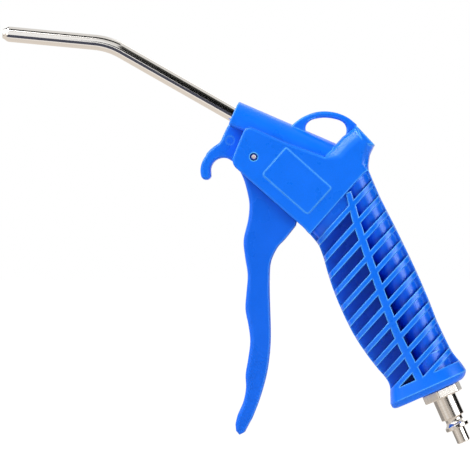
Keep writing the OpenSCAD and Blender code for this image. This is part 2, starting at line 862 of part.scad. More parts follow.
module inlet_washer() {
    color(rubber)
    in_grip()
    translate([0, 0, grip_z])
    difference() {
        cylinder(d = washer_d, h = washer_h);
        translate([0, 0, -over])
            cylinder(d = thread_d + side_gap, h = washer_h + 2 * over);
    }
}

module inlet_plug() {
    nose_edge = 0.5;
    hex_edge = 0.9;
    cone_share = 0.4;
    cone_l = neck_l * cone_share;
    color(nickel)
    in_grip()
    difference() {
        union() {
            translate([0, 0, -nose_l + nose_edge])
                cylinder(d = nose_d, h = nose_l - nose_edge);
            translate([0, 0, -nose_l])
                cylinder(d1 = nose_d - 2 * nose_edge, d2 = nose_d, h = nose_edge);
            cylinder(d = flange_d, h = flange_l);
            translate([0, 0, flange_l])
                cylinder(d1 = flange_d, d2 = neck_d, h = cone_l);
            translate([0, 0, flange_l])
                cylinder(d = neck_d, h = neck_l);
            translate([0, 0, flange_l + neck_l])
                cylinder(d = shank_d, h = shank_l);
            translate([0, 0, hex_z])
                intersection() {
                    rotate(hex_turn)
                        cylinder(d = hex_af / cos(30), h = hex_l, $fn = 6);
                    cylinder(d1 = hex_af + hex_edge, d2 = hex_af + hex_edge + 4 * hex_l, h = hex_l);
                    cylinder(d1 = hex_af + hex_edge + 4 * hex_l, d2 = hex_af + hex_edge, h = hex_l);
                }
            translate([0, 0, grip_z])
                cylinder(d = thread_d, h = thread_l);
        }
        translate([0, 0, -nose_l - over])
            cylinder(d = plug_bore_d, h = nose_l + grip_z + thread_l + 2 * over);
    }
}

body();
trigger();
pivot_pin();
nozzle_tube();
nozzle_bush();
nozzle_seal();
valve_cap();
cap_seal();
valve_spring();
poppet();
poppet_seal();
poppet_clip();
valve_seat();
seat_seal();
valve_stem();
stem_seal();
stem_guide();
inlet_insert();
inlet_washer();
inlet_plug();
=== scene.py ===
import json
import math

import bpy
from mathutils import Matrix, Vector


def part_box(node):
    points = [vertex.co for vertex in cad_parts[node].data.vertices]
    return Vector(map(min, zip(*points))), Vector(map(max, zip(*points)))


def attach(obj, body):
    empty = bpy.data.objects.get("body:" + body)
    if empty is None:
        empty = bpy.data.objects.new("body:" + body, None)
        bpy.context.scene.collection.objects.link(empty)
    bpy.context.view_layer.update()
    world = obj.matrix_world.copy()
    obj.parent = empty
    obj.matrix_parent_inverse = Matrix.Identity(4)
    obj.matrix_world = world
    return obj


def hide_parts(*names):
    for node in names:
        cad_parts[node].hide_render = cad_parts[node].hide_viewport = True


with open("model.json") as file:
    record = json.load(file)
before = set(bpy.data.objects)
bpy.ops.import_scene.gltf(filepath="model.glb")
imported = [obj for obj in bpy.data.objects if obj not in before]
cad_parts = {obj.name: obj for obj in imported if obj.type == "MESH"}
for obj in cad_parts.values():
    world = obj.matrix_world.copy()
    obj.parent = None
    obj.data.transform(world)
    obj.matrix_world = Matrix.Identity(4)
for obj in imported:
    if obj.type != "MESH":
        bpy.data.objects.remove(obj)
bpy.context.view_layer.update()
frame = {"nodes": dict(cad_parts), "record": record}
bpy.ops.object.select_all(action="DESELECT")

# The camera. A long lens looks level at the duster's left side, from a little towards its
# rear, so that only a sliver of the far side of the lever shows. Its sizes are in mm.
MM = 0.001
PHOTO_PX = 470
MM_PER_PX = 0.52
ORIGIN_PX = (457.7, 428.1)
CAMERA_FROM = 3000
CAMERA_TURN = math.radians(2.5)
# Most of what faces the camera lies this far in front of the middle plane.
FACING_Y = -5

aim = Vector((
    (PHOTO_PX / 2 - ORIGIN_PX[0]) * MM_PER_PX,
    FACING_Y,
    (ORIGIN_PX[1] - PHOTO_PX / 2) * MM_PER_PX,
)) * MM
back = Vector((math.sin(CAMERA_TURN), -math.cos(CAMERA_TURN), 0))
bpy.ops.object.camera_add(
    location=aim + back * CAMERA_FROM * MM, rotation=(math.pi / 2, 0, CAMERA_TURN)
)
camera = bpy.context.object
camera.name = "camera"
camera.data.lens = camera.data.sensor_width * CAMERA_FROM / (PHOTO_PX * MM_PER_PX)
camera.data.clip_end = 100
bpy.context.scene.camera = camera


# The studio, with its sizes in metres: a white room with two soft boxes up on the left, a strong
# one low on the right, and weak ones low on the left and behind. Flat cards that only reflections
# see stand for the dark and the white parts of the room, which stripe the plated metal.
def linear(code):
    """The linear colour of an sRGB hex value."""
    levels = [int(code[i:i + 2], 16) / 255 for i in (1, 3, 5)]
    return [c / 12.92 if c <= 0.04045 else ((c + 0.055) / 1.055) ** 2.4 for c in levels] + [1]


def node(tree, kind, settings=None, **links):
    """Adds a node. Each link is a socket's name or number, with a value or the output that feeds it."""
    made = tree.nodes.new(kind)
    for name, value in (settings or {}).items():
        setattr(made, name, value)
    for name, value in links.items():
        number = name[1:]
        socket = made.inputs[int(number) if number.isdigit() else name.replace("_", " ")]
        if isinstance(value, bpy.types.NodeSocket):
            tree.links.new(value, socket)
        else:
            socket.default_value = value
    return made


# The walls look white, a little greyer in reflections, and give off a weak light of their own.
ROOM_LIGHT = 0.15
ROOM_SHINE = 0.78
world = bpy.data.worlds.new("white_room")
bpy.context.scene.world = world
world.use_nodes = True
world.node_tree.nodes.clear()
path = node(world.node_tree, "ShaderNodeLightPath")
seen = node(world.node_tree, "ShaderNodeBackground", Color=linear("#FFFFFF"), Strength=1.0)
shine = node(world.node_tree, "ShaderNodeBackground", Color=linear("#FFFDFA"), Strength=ROOM_SHINE)
light = node(world.node_tree, "ShaderNodeBackground", Color=linear("#FFFFFF"), Strength=ROOM_LIGHT)
in_gloss = node(
    world.node_tree, "ShaderNodeMixShader",
    s0=path.outputs["Is Glossy Ray"], s1=light.outputs[0], s2=shine.outputs[0],
)
through = node(
    world.node_tree, "ShaderNodeMath", {"operation": "MAXIMUM"},
    s0=path.outputs["Is Camera Ray"], s1=path.outputs["Is Transmission Ray"],
)
both = node(
    world.node_tree, "ShaderNodeMixShader",
    s0=through.outputs[0], s1=in_gloss.outputs[0], s2=seen.outputs[0],
)
node(world.node_tree, "ShaderNodeOutputWorld", Surface=both.outputs[0])


def soft_box(name, direction, distance, size, radiance):
    """A square lamp that faces the object. Radiance 1 is a white card in plain light."""
    place = aim + Vector(direction).normalized() * distance
    bpy.ops.object.light_add(type="AREA", location=place)
    lamp = bpy.context.object
    lamp.name = name
    lamp.rotation_euler = (place - aim).to_track_quat("Z", "Y").to_euler()
    lamp.data.shape = "RECTANGLE"
    lamp.data.size, lamp.data.size_y = size
    lamp.data.energy = radiance * math.pi * size[0] * size[1]
    lamp.visible_camera = False


soft_box("top_box", (-0.46, -0.28, 0.84), 1.2, (0.95, 0.95), 4.2)
soft_box("key_box", (-0.80, -0.52, 0.25), 1.4, (0.35, 0.9), 1.2)
soft_box("right_box", (0.82, -0.49, 0.30), 1.4, (0.9, 0.6), 6.0)
soft_box("side_box", (-0.72, -0.05, 0.69), 1.2, (0.95, 0.95), 4.4)
soft_box("rear_box", (0.45, 0.70, 0.55), 1.4, (0.9, 0.9), 1.0)


def reflection_card(name, place, turn, size, colour):
    """A card that shows in reflections alone: it casts no light or shadow, and no camera sees it."""
    bpy.ops.mesh.primitive_plane_add(size=1, location=place, rotation=[math.radians(t) for t in turn])
    card = bpy.context.object
    card.name = name
    card.scale = (size[0], size[1], 1)
    paint = bpy.data.materials.new(name)
    paint.use_nodes = True
    paint.node_tree.nodes.clear()
    glow = node(paint.node_tree, "ShaderNodeEmission", Color=linear(colour), Strength=1.0)
    node(paint.node_tree, "ShaderNodeOutputMaterial", Surface=glow.outputs[0])
    card.data.materials.append(paint)
    card.visible_camera = False
    card.visible_diffuse = False
    card.visible_shadow = False
    card.visible_transmission = False


reflection_card("dark_end", (0.37, -1.20, 0.56), (90, 22, 0), (0.84, 1.50), "#0C0D0E")
reflection_card("dark_side", (-0.150, -1.19, 0.305), (90, 0, 0), (0.21, 0.39), "#101113")
reflection_card("pale_step", (0.16, -1.19, -0.02), (90, 0, 0), (0.50, 0.22), "#C4BDB5")
reflection_card("white_wall", (-0.79, -1.25, 0.60), (90, 0, 0), (1.4, 1.4), "#FFFFFF")
reflection_card("white_corner", (0.64, -0.94, 0.24), (90, 0, 30), (0.28, 0.50), "#FFFFFF")
reflection_card("dark_table", (-0.40, -0.665, 0.045), (0, 0, 0), (0.56, 1.05), "#4C4E5C")
reflection_card("dark_gap", (-0.45, -0.215, 1.0), (0, 0, 0), (1.2, 0.39), "#0A0A08")
reflection_card("dark_gap_right", (0.45, -0.665, 1.0), (0, 0, 0), (0.6, 0.61), "#3C3C37")
reflection_card("dark_rear", (0.949, 0.378, 0.36), (90, 0, -57), (1.28, 0.85), "#060606")
reflection_card("dark_corner", (-0.75, 0.60, 1.0), (0, 0, 0), (0.7, 0.7), "#0C0C0C")
reflection_card("grey_shade", (-0.12, 0.15, -0.05), (0, 0, 0), (0.14, 0.30), "#A8A4A0")
reflection_card("pale_floor", (-0.36, -0.33, -0.157), (0, 0, 0), (0.26, 0.26), "#FFFBF6")

# The floor is a wide pale sheet well below the duster. It keeps the duster's shadow,
# and in the metal it reflects as a warm grey.
FLOOR_Z = -0.16
FLOOR_SIZE = 60
FLOOR_LIFT = 0.93
bpy.ops.mesh.primitive_plane_add(size=FLOOR_SIZE, location=(0, 0, FLOOR_Z))
floor = bpy.context.object
floor.name = "floor"
paper = bpy.data.materials.new("pale_paper")
paper.use_nodes = True
paper.node_tree.nodes.clear()
path = node(paper.node_tree, "ShaderNodeLightPath")
matt = node(paper.node_tree, "ShaderNodeBsdfDiffuse", Color=linear("#E6E6E6"))
lift = node(paper.node_tree, "ShaderNodeEmission", Color=linear("#FFFFFF"), Strength=FLOOR_LIFT)
raised = node(paper.node_tree, "ShaderNodeAddShader", s0=matt.outputs[0], s1=lift.outputs[0])
warm = node(paper.node_tree, "ShaderNodeEmission", Color=linear("#E6DDD3"), Strength=1.0)
shown = node(
    paper.node_tree, "ShaderNodeMixShader",
    s0=path.outputs["Is Camera Ray"], s1=matt.outputs[0], s2=raised.outputs[0],
)
final = node(
    paper.node_tree, "ShaderNodeMixShader",
    s0=path.outputs["Is Glossy Ray"], s1=shown.outputs[0], s2=warm.outputs[0],
)
node(paper.node_tree, "ShaderNodeOutputMaterial", Surface=final.outputs[0])
floor.data.materials.append(paper)

bpy.context.scene.view_settings.view_transform = "Standard"

# The handle's head, one moulding in blue nylon with the grip: a thick plate with a rounded ridge
# and neck, and a thinner flank. Its places are in mm from the pivot pin, and the grip's are in mm
# along the inlet plug's axis, from the shoulder under the plug's locking flange.
pin_low, pin_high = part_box("pivot_pin")
PIN = (pin_low + pin_high) / 2 / MM
inlet = next(m for m in frame["record"]["mounts"] if m["name"] == "inlet_plug")
GRIP_LEAN = math.atan2(inlet["axis"][0], -inlet["axis"][2])
IN_GRIP = Matrix.Rotation(-GRIP_LEAN, 4, "Y")


def rounded(corners, steps=8):
    """A closed outline of (x, z, rim), from corners of (x, z, radius, rim). A radius makes an arc."""
    points = []
    for i, (x, z, radius, rim) in enumerate(corners):
        here = Vector((x, z))
        if radius == 0:
            points.append((here.x, here.y, rim))
            continue
        before = (Vector(corners[i - 1][:2]) - here).normalized()
        after = (Vector(corners[(i + 1) % len(corners)][:2]) - here).normalized()
        half = before.angle(after) / 2
        centre = here + (before + after).normalized() * radius / math.sin(half)
        start = here + before * radius / math.tan(half) - centre
        turn = (math.pi - 2 * half) * (-1 if before.cross(after) > 0 else 1)
        for k in range(steps + 1):
            at = centre + Matrix.Rotation(turn * k / steps, 2) @ start
            points.append((at.x, at.y, rim))
    return points


def flow(rows, steps):
    """A smooth run through rows of numbers, with even steps between each pair."""
    made = []
    for i in range(len(rows) - 1):
        a, b, c, d = (rows[min(max(i + k, 0), len(rows) - 1)] for k in (-1, 0, 1, 2))
        for j in range(steps):
            t = j / steps
            made.append([
                (2 * q + (r - p) * t + (2 * p - 5 * q + 4 * r - s) * t ** 2
                 + (3 * q - p - 3 * r + s) * t ** 3) / 2
                for p, q, r, s in zip(a, b, c, d)
            ])
    return made + [list(rows[-1])]


def arc(x, z, radius, start, end, steps, rim):
    """Points on an arc round (x, z), from one angle to another in degrees, with their rim."""
    turns = [math.radians(start + (end - start) * k / steps) for k in range(steps + 1)]
    return [(x + radius * math.cos(t), z + radius * math.sin(t), rim) for t in turns]


# How sharp a corner may count, so that its point doesn't run far in.
CORNER_LIMIT = 0.3


def drawn_in(outline, share):
    """The outline drawn in by a share of each point's rim."""
    made = []
    for i, (x, z, rim) in enumerate(outline):
        before = Vector(outline[i - 1][:2])
        here = Vector((x, z))
        after = Vector(outline[(i + 1) % len(outline)][:2])
        a, b = (here - before).normalized(), (after - here).normalized()
        a, b = Vector((-a.y, a.x)), Vector((-b.y, b.x))
        made.append(here + (a + b) * rim * share / max(1 + a.dot(b), CORNER_LIMIT))
    return made


def pick(piece):
    """Selects one piece and nothing else."""
    bpy.ops.object.select_all(action="DESELECT")
    bpy.context.view_layer.objects.active = piece
    piece.select_set(True)


def edit(piece):
    """Opens one piece in edit mode with all of it selected."""
    pick(piece)
    bpy.ops.object.mode_set(mode="EDIT")
    bpy.ops.mesh.select_all(action="SELECT")


SAME_PLACE = MM / 2000


def skin(name, rings, place=Matrix()):
    """A closed solid: a grid rolled round rings of points, in mm, with a flat face over each end."""
    around = len(rings[0])
    bpy.ops.mesh.primitive_grid_add(x_subdivisions=around, y_subdivisions=len(rings) - 1)
    piece = bpy.context.object
    piece.name = name
    points = [p for ring in rings for p in [*ring, ring[0]]]
    for vertex, point in zip(piece.data.vertices, points):
        vertex.co = Vector(point) * MM
    piece.data.transform(place)
    edit(piece)
    bpy.ops.mesh.remove_doubles(threshold=SAME_PLACE)
    bpy.ops.mesh.select_all(action="DESELECT")
    bpy.ops.mesh.select_mode(type="EDGE")
    bpy.ops.mesh.select_non_manifold()
    bpy.ops.mesh.fill_holes(sides=0)
    bpy.ops.mesh.select_all(action="SELECT")
    bpy.ops.mesh.normals_make_consistent(inside=False)
    bpy.ops.mesh.select_mode(type="VERT")
    bpy.ops.object.mode_set(mode="OBJECT")
    return piece


def moulding(name, outline, low, high, place=Matrix.Translation(PIN * MM), steps=5):
    """A flat moulding from y = low to high, with its rims rounded as the outline's points say."""
    quarter = [math.pi / 2 * k / steps for k in range(steps + 1)]
    rings = []
    for end, side, turns in ((low, 1, quarter), (high, -1, reversed(quarter))):
        for turn in turns:
            ring = drawn_in(outline, 1 - math.sin(turn))
            rings.append([
                (p.x, end + side * rim * (1 - math.cos(turn)), p.y)
                for p, (_, _, rim) in zip(ring, outline)
            ])
    return skin(name, rings, place)


def apply_all(piece):
    """Applies a piece's modifiers."""
    pick(piece)
    for modifier in list(piece.modifiers):
        bpy.ops.object.modifier_apply(modifier=modifier.name)


def combine(piece, others, operation="UNION"):
    """Adds other solids to a piece, cuts them out of it, or keeps what it shares with them."""
    for other in others:
        joining = piece.modifiers.new("joining", "BOOLEAN")
        joining.operation = operation
        joining.solver = "EXACT"
        joining.object = other
        apply_all(piece)
        bpy.data.objects.remove(other)
    return piece


def smooth_faces(piece, angle=32):
    """Shades a piece smooth between its sharp edges, with its large flat faces kept flat."""
    pick(piece)
    bpy.ops.object.shade_smooth_by_angle(angle=math.radians(angle))
    weighted = piece.modifiers.new("weighted", "WEIGHTED_NORMAL")
    weighted.keep_sharp = True
    apply_all(piece)


HEAD_W = 25
RIM = 1.0
RIDGE = 8
NECK = 4.5
SHARP = 0.4
head = moulding("handle", rounded([
    (-12.1, -3.3, 5.5, RIM), (15.0, -27.3, 60, RIM), (25.4, -36.3, 10, RIM),
    (29.2, -40.1, 0, SHARP), (56.6, -9.0, 0, SHARP), (59.3, -7.0, 0, SHARP),
    (59.2, -4.0, 0, NECK), (59.9, 1.0, 8, NECK), (61.8, 5.2, 0, NECK),
    (62.5, 6.4, 0, SHARP), (53.4, 16.0, 0, SHARP),
    (52.0, 15.2, 0, RIDGE), (46.0, 10.6, 0, RIDGE), (40.0, 4.0, 0, RIDGE),
    (37.0, -0.2, 0, RIM), (17.0, 7.1, 60, RIM), (-4.1, 16.5, 3.8, RIM),
]), -HEAD_W / 2, HEAD_W / 2, steps=6)

FLANK_W = 11
FLANK_RIM = 1.5
INNER_RIM = 0.3
flank = moulding("flank", rounded([
    (-16.2, 2.0, 0, INNER_RIM), (-9.0, -2.2, 0, INNER_RIM), (2.0, -6.0, 0, INNER_RIM),
    (14.0, 12.0, 0, INNER_RIM), (-4.0, 20.0, 0, INNER_RIM), (-12.3, 18.4, 0, 1.2),
    (-14.4, 15.2, 0, FLANK_RIM), (-16.9, 9.8, 0, FLANK_RIM),
]), -FLANK_W / 2, FLANK_W / 2)

# The barrel, round above and square below, which holds the nozzle in its brass bush. Its section
# stands square to its top edge, which falls to the rear.
BARREL_R = 10
BARREL_DEEP = 13.2
BARREL_CORNER = 1.6
BARREL_RIM = 0.9
BARREL_TOP_RIM = 0.5
BARREL_SIDE = 0.5
BARREL_LAP = 1
BARREL_TOP = Vector((-8.1, 28.9))
BARREL_REAR = Vector((45.0, 5.9))
along = BARREL_REAR - BARREL_TOP
barrel_fall = math.atan2(-along.y, along.x)
barrel_place = (
    Matrix.Translation((PIN + Vector((BARREL_TOP.x, 0, BARREL_TOP.y))) * MM)
    @ Matrix.Rotation(barrel_fall, 4, "Y") @ Matrix.Rotation(-math.pi / 2, 4, "Z")
)
section = arc(0, -BARREL_R, BARREL_R, 0, 180, 32, BARREL_TOP_RIM) + rounded([
    (-BARREL_R, -BARREL_R - BARREL_SIDE, 0, BARREL_RIM),
    (-BARREL_R, -BARREL_DEEP, BARREL_CORNER, BARREL_RIM),
    (-FLANK_W / 2 + BARREL_LAP, -BARREL_DEEP, 0, BARREL_RIM),
    (FLANK_W / 2 - BARREL_LAP, -BARREL_DEEP, 0, BARREL_RIM),
    (BARREL_R, -BARREL_DEEP, BARREL_CORNER, BARREL_RIM),
    (BARREL_R, -BARREL_R - BARREL_SIDE, 0, BARREL_RIM),
], 4)
barrel = moulding("barrel", section, 0, along.length, barrel_place, 4)

# The front hook, a curl of even thickness with a round tip, below the barrel's mouth. It is part
# of the moulding, and grows out of the flank.
HOOK_W = 11
HOOK_AT = (-16.2, -7.0)
HOOK_R = 6.6
HOOK_T = 5.3
HOOK_RIM = 1.5
tip_turn = math.radians(194)
tip = [HOOK_AT[k] + (HOOK_R + HOOK_T / 2) * f(tip_turn) for k, f in enumerate((math.cos, math.sin))]
hook = moulding("hook", [
    (-8.0, -2.4, INNER_RIM), (-8.0, 2.0, INNER_RIM), (-10.0, 12.0, INNER_RIM),
    *[(x, z, HOOK_RIM) for x, z in flow([
        (-15.9, 12.0), (-16.9, 9.6), (-17.7, 8.2), (-18.8, 7.0), (-20.6, 5.8), (-22.8, 4.1),
        (-24.8, 2.0),
    ], 3)],
    *arc(*HOOK_AT, HOOK_R + HOOK_T, 140, 192, 12, HOOK_RIM),
    *arc(*tip, HOOK_T / 2, 206, 346, 10, HOOK_RIM),
    *arc(*HOOK_AT, HOOK_R, 190, 48, 20, HOOK_RIM),
], -HOOK_W / 2, HOOK_W / 2, steps=4)

# The hanging eye, an arched band with rounded edges that stands on the head. Each row is a
# place on its outer edge and the one across from it on its inner edge.
EYE_W = 8
EYE_ROUND = 1.3
EYE_ROUND_SHARE = 0.8
EYE_CORNER_STEPS = 3
eye_band = flow([
    (15.8, 11.3, 30.0, 9.5), (17.3, 13.7, 27.4, 12.0), (19.1, 16.0, 26.5, 14.5),
    (21.4, 18.2, 27.0, 17.0), (25.2, 20.8, 29.4, 19.2), (30.9, 23.1, 33.0, 20.2),
    (36.6, 23.8, 36.6, 20.5), (42.3, 23.1, 41.0, 20.0), (46.6, 21.6, 44.6, 18.9),
    (49.6, 19.9, 46.8, 17.2), (51.9, 18.0, 47.8, 14.8), (53.2, 16.6, 47.6, 12.2),
    (52.4, 14.4, 46.5, 9.5),
], 4)
rings = []
for outer_x, outer_z, inner_x, inner_z in eye_band:
    outer, inner = Vector((outer_x, outer_z)), Vector((inner_x, inner_z))
    half, reach = (outer - inner) / 2, (outer - inner).length / 2
    corner = min(EYE_ROUND, reach * EYE_ROUND_SHARE)
    ring = []
    for side_y, side_r in ((1, 1), (1, -1), (-1, -1), (-1, 1)):
        for k in range(EYE_CORNER_STEPS + 1):
            turn = math.pi / 2 * k / EYE_CORNER_STEPS
            first, second = math.cos(turn), math.sin(turn)
            if side_y * side_r < 0:
                first, second = second, first
            y = side_y * (EYE_W / 2 - corner + corner * second)
            r = side_r * (reach - corner + corner * first)
            at = (outer + inner) / 2 + half.normalized() * r
            ring.append((at.x, y, at.y))
    rings.append(ring)
eye = skin("eye", rings, Matrix.Translation(PIN * MM))

# A plain panel, raised a little from the plate on each side.
PANEL_RAISED = 0.3
PANEL_RIM = 0.3
PANEL_ROOT_SHARE = 0.9
panel_outline = rounded([
    (4.3, -9.2, 1.6, PANEL_RIM), (28.0, -30.0, 1.8, PANEL_RIM),
    (40.5, -16.1, 0.9, PANEL_RIM), (16.8, 5.0, 0.7, PANEL_RIM),
])
panels = []
for side in (-1, 1):
    root = side * HEAD_W / 2 * PANEL_ROOT_SHARE
    face = side * (HEAD_W / 2 + PANEL_RAISED)
    panels.append(moulding("panel", panel_outline, *sorted((root, face)), steps=3))

# The grip is the same moulding: straight slanted ribs across a spine, on a thin web that also
# carries the air channel. Its outer form is squarish sections, each a row of its height above the
# top of the plug's hexagon, its front, its rear and half its width.
HEX_TOP = 22.4
FORM_POWER = 2.7
rim_rows = flow([
    (0.0, -24.8, 12.2, 12.2), (0.5, -26.1, 13.4, 13.1), (1.6, -26.8, 14.9, 14.1),
    (3.4, -26.9, 16.2, 15.0),
], 6)
grip_rows = rim_rows[:-1] + flow([
    (3.4, -26.9, 16.2, 15.0), (8.0, -25.0, 15.4, 14.1),
    (12.1, -23.5, 14.2, 13.4), (16.6, -23.7, 13.3, 13.2), (23.7, -25.8, 13.0, 13.4),
    (33.1, -28.0, 12.8, 13.8), (43.6, -29.7, 13.3, 14.0), (55.6, -30.3, 13.5, 14.0),
    (67.7, -30.1, 13.4, 14.0), (77.6, -29.2, 13.1, 13.8), (86.6, -27.9, 12.8, 13.4),
    (93.6, -27.5, 12.4, 13.0), (99.6, -28.9, 12.1, 12.7), (105.6, -30.7, 11.9, 12.5),
    (121.0, -31.0, 12.2, 12.3),
], 6)


def grip_row(height):
    """The grip's middle, half depth and half width at a height above its rim."""
    for low, high in zip(grip_rows, grip_rows[1:]):
        if height <= high[0]:
            break
    t = min(max((height - low[0]) / (high[0] - low[0]), 0), 1)
    front, rear, half = (a + (b - a) * t for a, b in zip(low[1:], high[1:]))
    return (front + rear) / 2, (rear - front) / 2, half


def squared(x):
    """A cosine or sine made fuller, so that the section is a squarish oval."""
    return math.copysign(abs(x) ** (2 / FORM_POWER), x)


def round_turns(steps, shift=0):
    """Even steps round a full turn, in radians."""
    return [math.tau * (k + shift) / steps for k in range(steps)]


def form_side(depth, height):
    """Half the grip's width at a place in its side view."""
    middle, half_depth, half_width = grip_row(height)
    off = min(abs(depth - middle) / half_depth, 1)
    return half_width * (1 - off ** FORM_POWER) ** (1 / FORM_POWER)


RIB_TURN = math.radians(48) - GRIP_LEAN
PIN_IN_GRIP = IN_GRIP.inverted() @ PIN
SECTION_STEPS = 88
SETTLE_STEPS = 12


def form_ring(distance, shrink=0.0):
    """The grip's section on a plane that slants as the ribs do, at a distance from the pivot pin."""
    ring = []
    for turn in round_turns(SECTION_STEPS, 0.5):
        depth = 0
        for _ in range(SETTLE_STEPS):
            slant = (depth - PIN_IN_GRIP.x) * math.sin(RIB_TURN)
            height = PIN_IN_GRIP.z - (distance - slant) / math.cos(RIB_TURN)
            middle, half_depth, half_width = grip_row(height - HEX_TOP)
            depth = middle + (half_depth - shrink) * squared(math.cos(turn))
        ring.append((depth, (half_width - shrink) * squared(math.sin(turn)), height))
    return ring


def edge_steps(size):
    """Steps round a rounded edge: how far each is from the one face and from the other, in mm."""
    turns = [math.radians(t) for t in (0, 30, 60, 90)]
    return [(size * (1 - math.sin(t)), size * (1 - math.cos(t))) for t in turns]


RIB_W = 2.8
RIB_PITCH = 8
FIRST_POCKET = 48.2
RIB_COUNT = 13
RIB_EDGE = 0.35
RIB_FOOT = HEX_TOP + 4
ribs = []
for k in range(RIB_COUNT):
    top = FIRST_POCKET + RIB_PITCH - RIB_W + k * RIB_PITCH
    rings = [form_ring(top + down, away) for away, down in edge_steps(RIB_EDGE)]
    rings.append(form_ring(top + RIB_W / 2))
    rings += [form_ring(top + RIB_W - up, away) for away, up in reversed(edge_steps(RIB_EDGE))]
    rib = skin("rib", rings)
    edit(rib)
    bpy.ops.mesh.bisect(
        plane_co=(0, 0, RIB_FOOT * MM), plane_no=(0, 0, 1), use_fill=True, clear_inner=True
    )
    bpy.ops.object.mode_set(mode="OBJECT")
    ribs.append(rib)

# The collar closes the grip's lower end round the inlet. It stands a hair outside the ribs and
# the web that run into it, so that no two faces lie in one place.
COLLAR_L = 9.6
COLLAR_EDGE = 0.35
COLLAR_PROUD = 0.01
collar_rows = [(row[0], 0) for row in grip_rows if row[0] < COLLAR_L - COLLAR_EDGE]
collar_rows += [(COLLAR_L - down, shrink) for down, shrink in edge_steps(COLLAR_EDGE)]
rings = []
for height, shrink in collar_rows:
    middle, half_depth, half_width = grip_row(height)
    rings.append([
        (
            middle + (half_depth + COLLAR_PROUD - shrink) * squared(math.cos(turn)),
            (half_width + COLLAR_PROUD - shrink) * squared(math.sin(turn)),
            HEX_TOP + height,
        )
        for turn in round_turns(SECTION_STEPS, 0.5)
    ])
collar = skin("collar", rings)

# The web, a thin wall on the middle plane that joins the ribs, with a round column up it that
# the air channel runs in.
WEB_T = 5
WEB_FOOT = 6
WEB_INSET = 0.05
WEB_RIM = 0.6
web_rows = [row for row in grip_rows if row[0] > WEB_FOOT]
web_outline = [(rear - WEB_INSET, HEX_TOP + height, WEB_RIM) for height, _, rear, _ in web_rows]
web_outline += [
    (front + WEB_INSET, HEX_TOP + height, WEB_RIM) for height, front, _, _ in reversed(web_rows)
]
web = moulding("web", web_outline, -WEB_T / 2, WEB_T / 2, Matrix(), 3)

COLUMN_R = 8.5
COLUMN_X = 2.5
COLUMN_FOOT = HEX_TOP + 2
COLUMN_TOP = HEX_TOP + 121
ROUND_STEPS = 64
column = skin("column", [
    [(COLUMN_X + COLUMN_R * math.cos(t), COLUMN_R * math.sin(t), z) for t in round_turns(ROUND_STEPS)]
    for z in (COLUMN_FOOT, COLUMN_TOP)
])

# The spine, a smooth band that runs down the grip over the ribs' ends on each side. Each row is
# a height, its middle and its width, and its edges fall a little to meet the ribs.
SPINE_PROUD = 0.012
SPINE_FALLS = (0.3, 0.03, 0, 0, 0, 0.03, 0.3)
spine_path = flow([
    (112.6, -1.9, 2.8), (105.0, -3.0, 3.6), (96.8, -4.3, 3.9), (79.6, -5.9, 4.0), (66.0, -6.9, 4.0),
    (52.8, -7.9, 4.1), (34.1, -8.7, 4.2), (13.8, -7.8, 4.3), (5.0, -7.3, 4.3),
], 8)
rings = []
for height, middle, wide in spine_path:
    ring = []
    for side in (-1, 1):
        for k, fall in enumerate(SPINE_FALLS):
            depth = middle + wide * (k / (len(SPINE_FALLS) - 1) - 0.5) * -side
            out = form_side(depth, height) + SPINE_PROUD - fall
            ring.append((depth, side * out, HEX_TOP + height))
    rings.append(ring)
spine = skin("spine", rings)


def bar(name, start, end, width, sides=64):
    """A round bar between two points, in mm."""
    start, end = Vector(start), Vector(end)
    turn = (end - start).to_track_quat("Z", "X")
    bpy.ops.mesh.primitive_cylinder_add(
        vertices=sides, radius=width / 2 * MM, depth=(end - start).length * MM,
        location=(start + end) / 2 * MM, rotation=turn.to_euler(),
    )
    piece = bpy.context.object
    piece.name = name
    bpy.ops.object.transform_apply(location=True, rotation=True, scale=True)
    return piece


# The boss round the inlet's brass insert, and the first pocket before the spine, which is
# shallow because the head's nylon runs down into it.
BOSS_D = 21
BOSS_FOOT = HEX_TOP + 1
BOSS_TOP = HEX_TOP + 19
FILL_INSET = 1.6
FILL_FROM_POCKET = (-0.6, 2.0, 5.5)
FILL_REAR = -2
boss = bar("boss", (0, 0, BOSS_FOOT), (0, 0, BOSS_TOP), BOSS_D)
fill = skin("fill", [form_ring(FIRST_POCKET + z, FILL_INSET) for z in FILL_FROM_POCKET])
edit(fill)
bpy.ops.mesh.bisect(
    plane_co=(FILL_REAR * MM, 0, 0), plane_no=(1, 0, 0), use_fill=True, clear_outer=True
)
bpy.ops.object.mode_set(mode="OBJECT")
grip = combine(web, [column, boss, collar, spine, fill, *ribs])
grip.data.transform(IN_GRIP)
body = combine(head, [flank, barrel, hook, eye, *panels, grip])

# What is cut in the body: the lever's slot, the pin's hole, the valve's bores in line from the
# rear end, the nozzle's bores in line from the mouth, the air channel, and the inlet's bores. A
# bore is (start, end, width), and most are a hair wider than the piece that sits in them.
LEVER_SLOT_W = 18
SLOT_RIM = 0.5
SLOT_TOP_R = 7.0
# Where the valve's and the nozzle's bores open, from the pivot pin, and which way they go.
VALVE_END = Vector((57.8, 0, 11.284))
VALVE_OUT = Vector((0.7278, 0, 0.6858))
VALVE_SIDE = Vector((0.6858, 0, -0.7278))
MOUTH = Vector((-12.45, 0, 23.06))
TUBE_IN = Vector((0.8686, 0, -0.4955))


def on_valve(name, start, end, width):
    """A bar along the valve's axis, at depths from the rear end."""
    base = PIN + VALVE_END
    return bar(name, base - VALVE_OUT * start, base - VALVE_OUT * end, width)


def on_tube(name, start, end, width):
    """A bar along the nozzle's axis, at depths from the mouth."""
    return bar(name, PIN + MOUTH + TUBE_IN * start, PIN + MOUTH + TUBE_IN * end, width)


def up_grip(height):
    """A place on the inlet plug's axis, in mm."""
    return IN_GRIP @ Vector((0, 0, height))


CUT_PAST = 20


